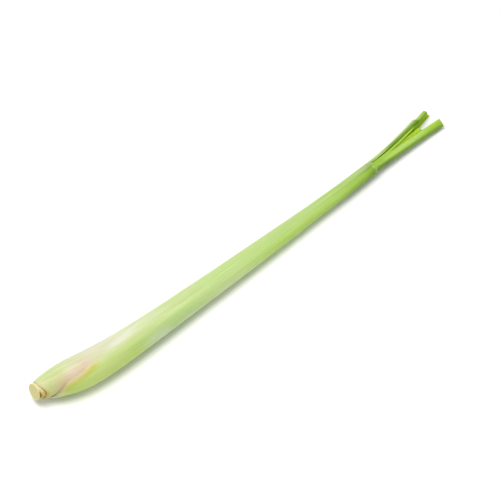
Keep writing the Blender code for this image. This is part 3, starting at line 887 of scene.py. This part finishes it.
def makeFoot():
    angle = np.arange(foot["sides"]) * 2 * math.pi / foot["sides"]
    around = angle[None, :]
    rows = np.concatenate([np.linspace(*run) for run in foot["sideRows"]])
    profile = through(foot["profile"], rows)
    for sign, (where, width, height) in ((1, foot["lip"]), (-1, foot["dent"])):
        profile = profile + sign * height * hump(rows, where, width)
    alongPace, roundPace = foot["roughPaces"]
    rough = foot["rough"] * unevenness(rows[:, None] * alongPace, around * roundPace, seeds["stemSide"])
    alongPace, roundPace = foot["bumpsPaces"]
    bumps = unevenness(rows[:, None] * alongPace, np.sin(around) * roundPace, seeds["stemBumps"])
    bumps = foot["bumps"] * np.clip(bumps, 0, None)
    showing = 1 - ease(*foot["sideShows"], rows)[:, None]
    turned = hump(around, foot["bulgeTurned"], foot["bulgeWidth"])
    bulge = turned * inAndOut(foot["bulgeAlong"], rows)[:, None]
    scar = hump(around, foot["bulgeTurned"], foot["scarWidth"]) * inAndOut(foot["scarAlong"], rows)[:, None]
    tan = turned * ease(*foot["tanStarts"], rows)[:, None]
    sideRadius = profile[:, None] + (rough + bumps) * showing - foot["shrinks"] * showing
    sideRadius = sideRadius + foot["bulge"] * bulge - foot["scarDepth"] * scar
    sidePlace = rows[:, None] + 0 * around

    outerRing = sideRadius[0][None, :]
    share = np.linspace(0, 1, foot["rings"] + 1)[1:-1, None]
    capRadius = share * (outerRing - foot["rim"])
    wide, high = foot["sawnPaces"]
    sawn = unevenness(capRadius * np.cos(angle) * wide, capRadius * np.sin(angle) * high, seeds["sawn"])
    pace = foot["wanderPace"]
    wander = foot["yearWander"] * unevenness(np.cos(angle) * pace, np.sin(angle) * pace, seeds["yearRings"])
    yearRings = np.cos(capRadius * foot["yearPace"] + wander)
    capPlace = foot["middleUp"] + foot["cutDepth"] * (foot["sawn"] * sawn - foot["yearRings"] * yearRings)
    capPlace = np.maximum(capPlace - foot["outerDown"] * share ** foot["downSharp"], 0)
    rimShares, rimPlaces = np.array(foot["rimSteps"]).T[:, :, None]
    rimRadius = outerRing - foot["rim"] * rimShares
    rimUneven = foot["rimUneven"] * unevenness(angle * foot["rimPace"], 0, seeds["stemRim"])
    rimPlace = np.maximum(rimPlaces + rimUneven[None, :], 0)

    radius = np.concatenate([capRadius, rimRadius, sideRadius])
    place = np.concatenate([foot["start"] + capPlace, foot["start"] + rimPlace, sidePlace])
    cutBack = foot["slant"] * (1 + radius / foot["slantRadius"] * np.cos(angle - foot["slantFaces"]))
    place = place + cutBack * (1 - np.clip((place - foot["start"]) / foot["slantFades"], 0, 1))
    points = toPoints(place, radius * np.cos(angle), radius * np.sin(angle))
    middles = np.array([foot["start"] + foot["middleUp"] + foot["slant"], foot["end"]])
    ends = toPoints(middles, np.zeros(2), np.zeros(2))
    mesh = closedRings("foot_fine", points, len(radius), foot["sides"], ends)

    spin = np.concatenate([(around + 0 * radius).ravel(), [0, 0]])
    fromAxis = np.concatenate([radius.ravel(), [0, 0]])
    down = np.concatenate([place.ravel(), [foot["start"], foot["end"]]])
    rings = (np.ones(capRadius.shape), np.full(rimRadius.shape, foot["rimCut"]), np.zeros(sideRadius.shape))
    offSide = np.zeros((len(capRadius) + len(rimRadius), foot["sides"]))
    store(mesh, "stemSpot", np.stack([fromAxis * np.cos(spin), fromAxis * np.sin(spin), down], -1))
    store(mesh, "cut", np.concatenate([np.concatenate(rings).ravel(), [1, 0]]))
    store(mesh, "fromAxis", fromAxis)
    store(mesh, "down", down)
    for key, value in (("scar", scar), ("tan", tan)):
        store(mesh, key, np.concatenate([np.concatenate([offSide, value]).ravel(), [0, 0]]))
    return mesh


stemSkin = {
    "cutColours": ((0.0, (0.54, 0.50, 0.15)), (0.45, (0.64, 0.59, 0.23)), (0.8, (0.71, 0.66, 0.30)),
                   (1.0, (0.78, 0.73, 0.40))),
    "sideColours": ((0.0, (0.62, 0.52, 0.20)), (0.5, (0.76, 0.69, 0.37)), (1.0, (0.84, 0.78, 0.50))),
    "dot": (0.50, 0.45, 0.15),
    "flaw": (0.34, 0.22, 0.07),
    "hidden": (0.42, 0.27, 0.05),       # under the sheath
    "tan": (0.56, 0.37, 0.06),
    "scar": (0.25, 0.145, 0.0),
    "pithGrain": ((1.6, 1.6, 1.0), 4.0),
    "fineGrain": ((6.5, 6.5, 3.0), 2.0),
    "ringPace": 4.6, "ringWander": 2.2,
    "ringShare": 0.45, "pithShare": 0.6,
    "dotScale": 1.5, "dotsShow": (0.10, 0.22, 0.35, 0.0),
    "flawsShow": (0.58, 0.68), "flawsAlong": (1.0, 2.4, 0.0, 0.3),
    "hiddenAlong": (4.4, 6.4),
    "tanGrain": (0.3, 0.7, 1.0, 0.75),
    "scarStrength": 1.25,
    "ringHeight": 0.6,
    "bumpStrength": 0.6,
    "bumpDepth": 0.0001,
    "roughness": (0.3, 0.7, 0.48, 0.68),
    "shine": {"Subsurface Weight": 0.12, "Subsurface Scale": 1.0,
              "Subsurface Radius": (0.0012, 0.0010, 0.0004)},
}


def makeStemSkin():
    material, tree, shader = newMaterial("stemSkin")
    spot = reading(tree, "stemSpot", "Vector")
    down = reading(tree, "down")
    pith = grain(tree, spot, *stemSkin["pithGrain"])
    fine = grain(tree, spot, *stemSkin["fineGrain"])

    fromAxis = calc(tree, "MULTIPLY", reading(tree, "fromAxis"), stemSkin["ringPace"])
    wavy = calc(tree, "ADD", fromAxis, calc(tree, "MULTIPLY", pith, stemSkin["ringWander"]))
    rings = calc(tree, "MULTIPLY", calc(tree, "ADD", calc(tree, "SINE", wavy), 1.0), 0.5)
    ringed = calc(tree, "MULTIPLY", rings, stemSkin["ringShare"])
    cutValue = calc(tree, "ADD", ringed, calc(tree, "MULTIPLY", pith, stemSkin["pithShare"]))
    cutColour = colourStops(tree, cutValue, stemSkin["cutColours"])
    cells = addNode(tree, "ShaderNodeTexVoronoi", {"Vector": spot, "Scale": stemSkin["dotScale"]})
    dots = fromTo(tree, cells.outputs["Distance"], *stemSkin["dotsShow"])
    cutColour = blendColours(tree, dots, cutColour, (*stemSkin["dot"], 1))

    sideColour = colourStops(tree, pith, stemSkin["sideColours"])
    flawsAlong = fromTo(tree, down, *stemSkin["flawsAlong"])
    tanGrain = fromTo(tree, fine, *stemSkin["tanGrain"])
    sideStains = {
        "flaw": calc(tree, "MULTIPLY", fromTo(tree, fine, *stemSkin["flawsShow"]), flawsAlong),
        "hidden": fromTo(tree, down, *stemSkin["hiddenAlong"]),
        "tan": calc(tree, "MULTIPLY", reading(tree, "tan"), tanGrain),
        "scar": calc(tree, "MULTIPLY", reading(tree, "scar"), stemSkin["scarStrength"], True),
    }
    for stain, amount in sideStains.items():
        sideColour = blendColours(tree, amount, sideColour, (*stemSkin[stain], 1))
    colour = blendColours(tree, reading(tree, "cut"), sideColour, cutColour)

    height = calc(tree, "ADD", fine, calc(tree, "MULTIPLY", rings, stemSkin["ringHeight"]))
    finishSkin(tree, shader, stemSkin, colour, fromTo(tree, pith, *stemSkin["roughness"]), height)
    return material


addPiece(makeFoot(), makeStemSkin(), "foot")
print("foot made")


# The youngest leaf, still rolled: its free edge shows as a groove that winds slowly round it
heart = {
    "start": 21, "end": 387, "rows": 150, "sides": 48,
    "narrowsFrom": 340,
    "tipRadius": 1.2,
    "shrinks": 0.985,
    "grooveDepth": 0.16, "grooveWidth": 0.22, "grooveStarts": -0.05,
    "grooveTurned": 2.0,    # radians round, at the foot
    "grooveWinds": 0.004,
    "veinHeight": 0.02, "veinsRound": 14,
    "cutUneven": 0.35, "cutPace": 2, "cutDish": 0.5,
    "green": (0.1, 0.55), "greenAlong": (60, 350),
    "bloom": 0.3,
    "cutWidth": 0.6,
    "acrossScale": 6, "apart": 77.0,
}


def makeHeart():
    rows = np.linspace(heart["start"], heart["end"], heart["rows"])
    angle = np.arange(heart["sides"]) * 2 * math.pi / heart["sides"]
    narrowing = ease(heart["narrowsFrom"], heart["end"], rows)
    radius = sheathRadius("", rows) * (1 - narrowing) + heart["tipRadius"] * narrowing
    groove = angle[None, :] - heart["grooveTurned"] - rows[:, None] * heart["grooveWinds"]
    groove = (groove + math.pi) % (2 * math.pi) - math.pi
    depth = heart["grooveDepth"] * np.exp(-np.clip(groove, 0, None) / heart["grooveWidth"])
    veins = heart["veinHeight"] * np.cos(angle * heart["veinsRound"])[None, :]
    radius = radius[:, None] * (heart["shrinks"] - depth * (groove > heart["grooveStarts"]) + veins)
    place = rows[:, None] + 0 * angle[None, :]
    place[-1] += heart["cutUneven"] * unevenness(angle * heart["cutPace"], 0, seeds["heartCut"])
    points = toPoints(place, radius * np.cos(angle), radius * np.sin(angle))
    middles = np.array([heart["start"], heart["end"] - heart["cutDish"]])
    ends = toPoints(middles, np.zeros(2), np.zeros(2))
    mesh = closedRings("heart_fine", points, len(rows), heart["sides"], ends)

    flat = np.concatenate([place.ravel(), [heart["start"], heart["end"]]])
    turned = np.concatenate([(angle[None, :] * heart["acrossScale"] + 0 * place).ravel(), [0, 0]])
    least, more = heart["green"]
    store(mesh, "leafSpot", np.stack([turned, flat, np.full(flat.shape, heart["apart"])], -1))
    store(mesh, "green", least + more * ease(*heart["greenAlong"], flat))
    store(mesh, "bloom", np.full(flat.shape, heart["bloom"]))
    store(mesh, "cutEdge", np.exp(-(heart["end"] - flat) / heart["cutWidth"]))
    for key in ("blush", "straw", "dry", "lime", "deep", "pale"):
        store(mesh, key, np.zeros(flat.shape))
    return mesh


addPiece(makeHeart(), makeLeafSkin("youngLeafSkin", *leafShine["young"]), "heart")
print("heart made")


# Floor, light and camera
studio = {
    "floorSize": 6.0,
    "floorColour": (0.95, 0.95, 0.945),
    "floorUneven": 0.985,
    "floorGrain": (3.0, 2.0),
    "floorRoughness": (0.3, 0.7, 0.7, 0.78),
    "skyStrength": 0.45,
    "keyPower": 15.5,
    "keySize": 1.0,
    "keyPlace": (-0.32, 0.16, 1.32),
    "fillPower": 3.0,
    "fillSize": 1.4,
    "fillPlace": (0.5, -1.1, 0.9),
}


def makeFloor():
    half = studio["floorSize"] / 2
    mesh = bpy.data.meshes.new("floor")
    corners = [(-half, -half, 0), (half, -half, 0), (half, half, 0), (-half, half, 0)]
    mesh.from_pydata(corners, [], [(0, 1, 2, 3)])
    material, tree, shader = newMaterial("paleFloor")
    place = addNode(tree, "ShaderNodeTexCoord").outputs["Object"]
    scale, levels = studio["floorGrain"]
    noise = addNode(tree, "ShaderNodeTexNoise", {"Vector": place, "Scale": scale, "Detail": levels})
    noise = noise.outputs[0]
    light = studio["floorColour"]
    dark = [value * studio["floorUneven"] for value in light]
    colour = blendColours(tree, noise, (*light, 1), (*dark, 1))
    tree.links.new(colour, shader.inputs["Base Color"])
    tree.links.new(fromTo(tree, noise, *studio["floorRoughness"]), shader.inputs["Roughness"])
    mesh.materials.append(material)
    floor = bpy.data.objects.new("floor", mesh)
    bpy.context.scene.collection.objects.link(floor)


def aim(thing, target):
    direction = thing.location - target
    thing.rotation_euler = direction.to_track_quat("Z", "Y").to_euler()


def makeLight(name, place, size, power):
    light = bpy.data.lights.new(name, "AREA")
    light.shape = "DISK"
    light.size = size
    light.energy = power
    lamp = bpy.data.objects.new(name, light)
    bpy.context.scene.collection.objects.link(lamp)
    lamp.location = place
    aim(lamp, lamp.location.__class__((0, 0, 0)))


def makeSky():
    world = bpy.data.worlds.new("softSky")
    world.use_nodes = True
    backdrop = world.node_tree.nodes["Background"]
    backdrop.inputs["Color"].default_value = (1, 1, 1, 1)
    backdrop.inputs["Strength"].default_value = studio["skyStrength"]
    bpy.context.scene.world = world


view = {
    "azimuth": math.radians(-43.5),
    "elevation": math.radians(51),
    "distance": 1.5,
    "target": (0.0, 0.0, 0.008),
    "lens": 142,
    "nearest": 0.05,
}


def makeCamera():
    camera = bpy.data.objects.new("camera", bpy.data.cameras.new("camera"))
    bpy.context.scene.collection.objects.link(camera)
    around, above = view["azimuth"], view["elevation"]
    target = camera.location.__class__(view["target"])
    way = (math.sin(around) * math.cos(above), -math.cos(around) * math.cos(above), math.sin(above))
    camera.location = target + camera.location.__class__(way) * view["distance"]
    aim(camera, target)
    camera.data.lens = view["lens"]
    camera.data.clip_start = view["nearest"]
    bpy.context.scene.camera = camera


makeFloor()
makeLight("keyLight", studio["keyPlace"], studio["keySize"], studio["keyPower"])
makeLight("fillLight", studio["fillPlace"], studio["fillSize"], studio["fillPower"])
makeSky()
makeCamera()
bpy.context.scene.view_settings.view_transform = "Standard"
print("floor, light and camera ready")
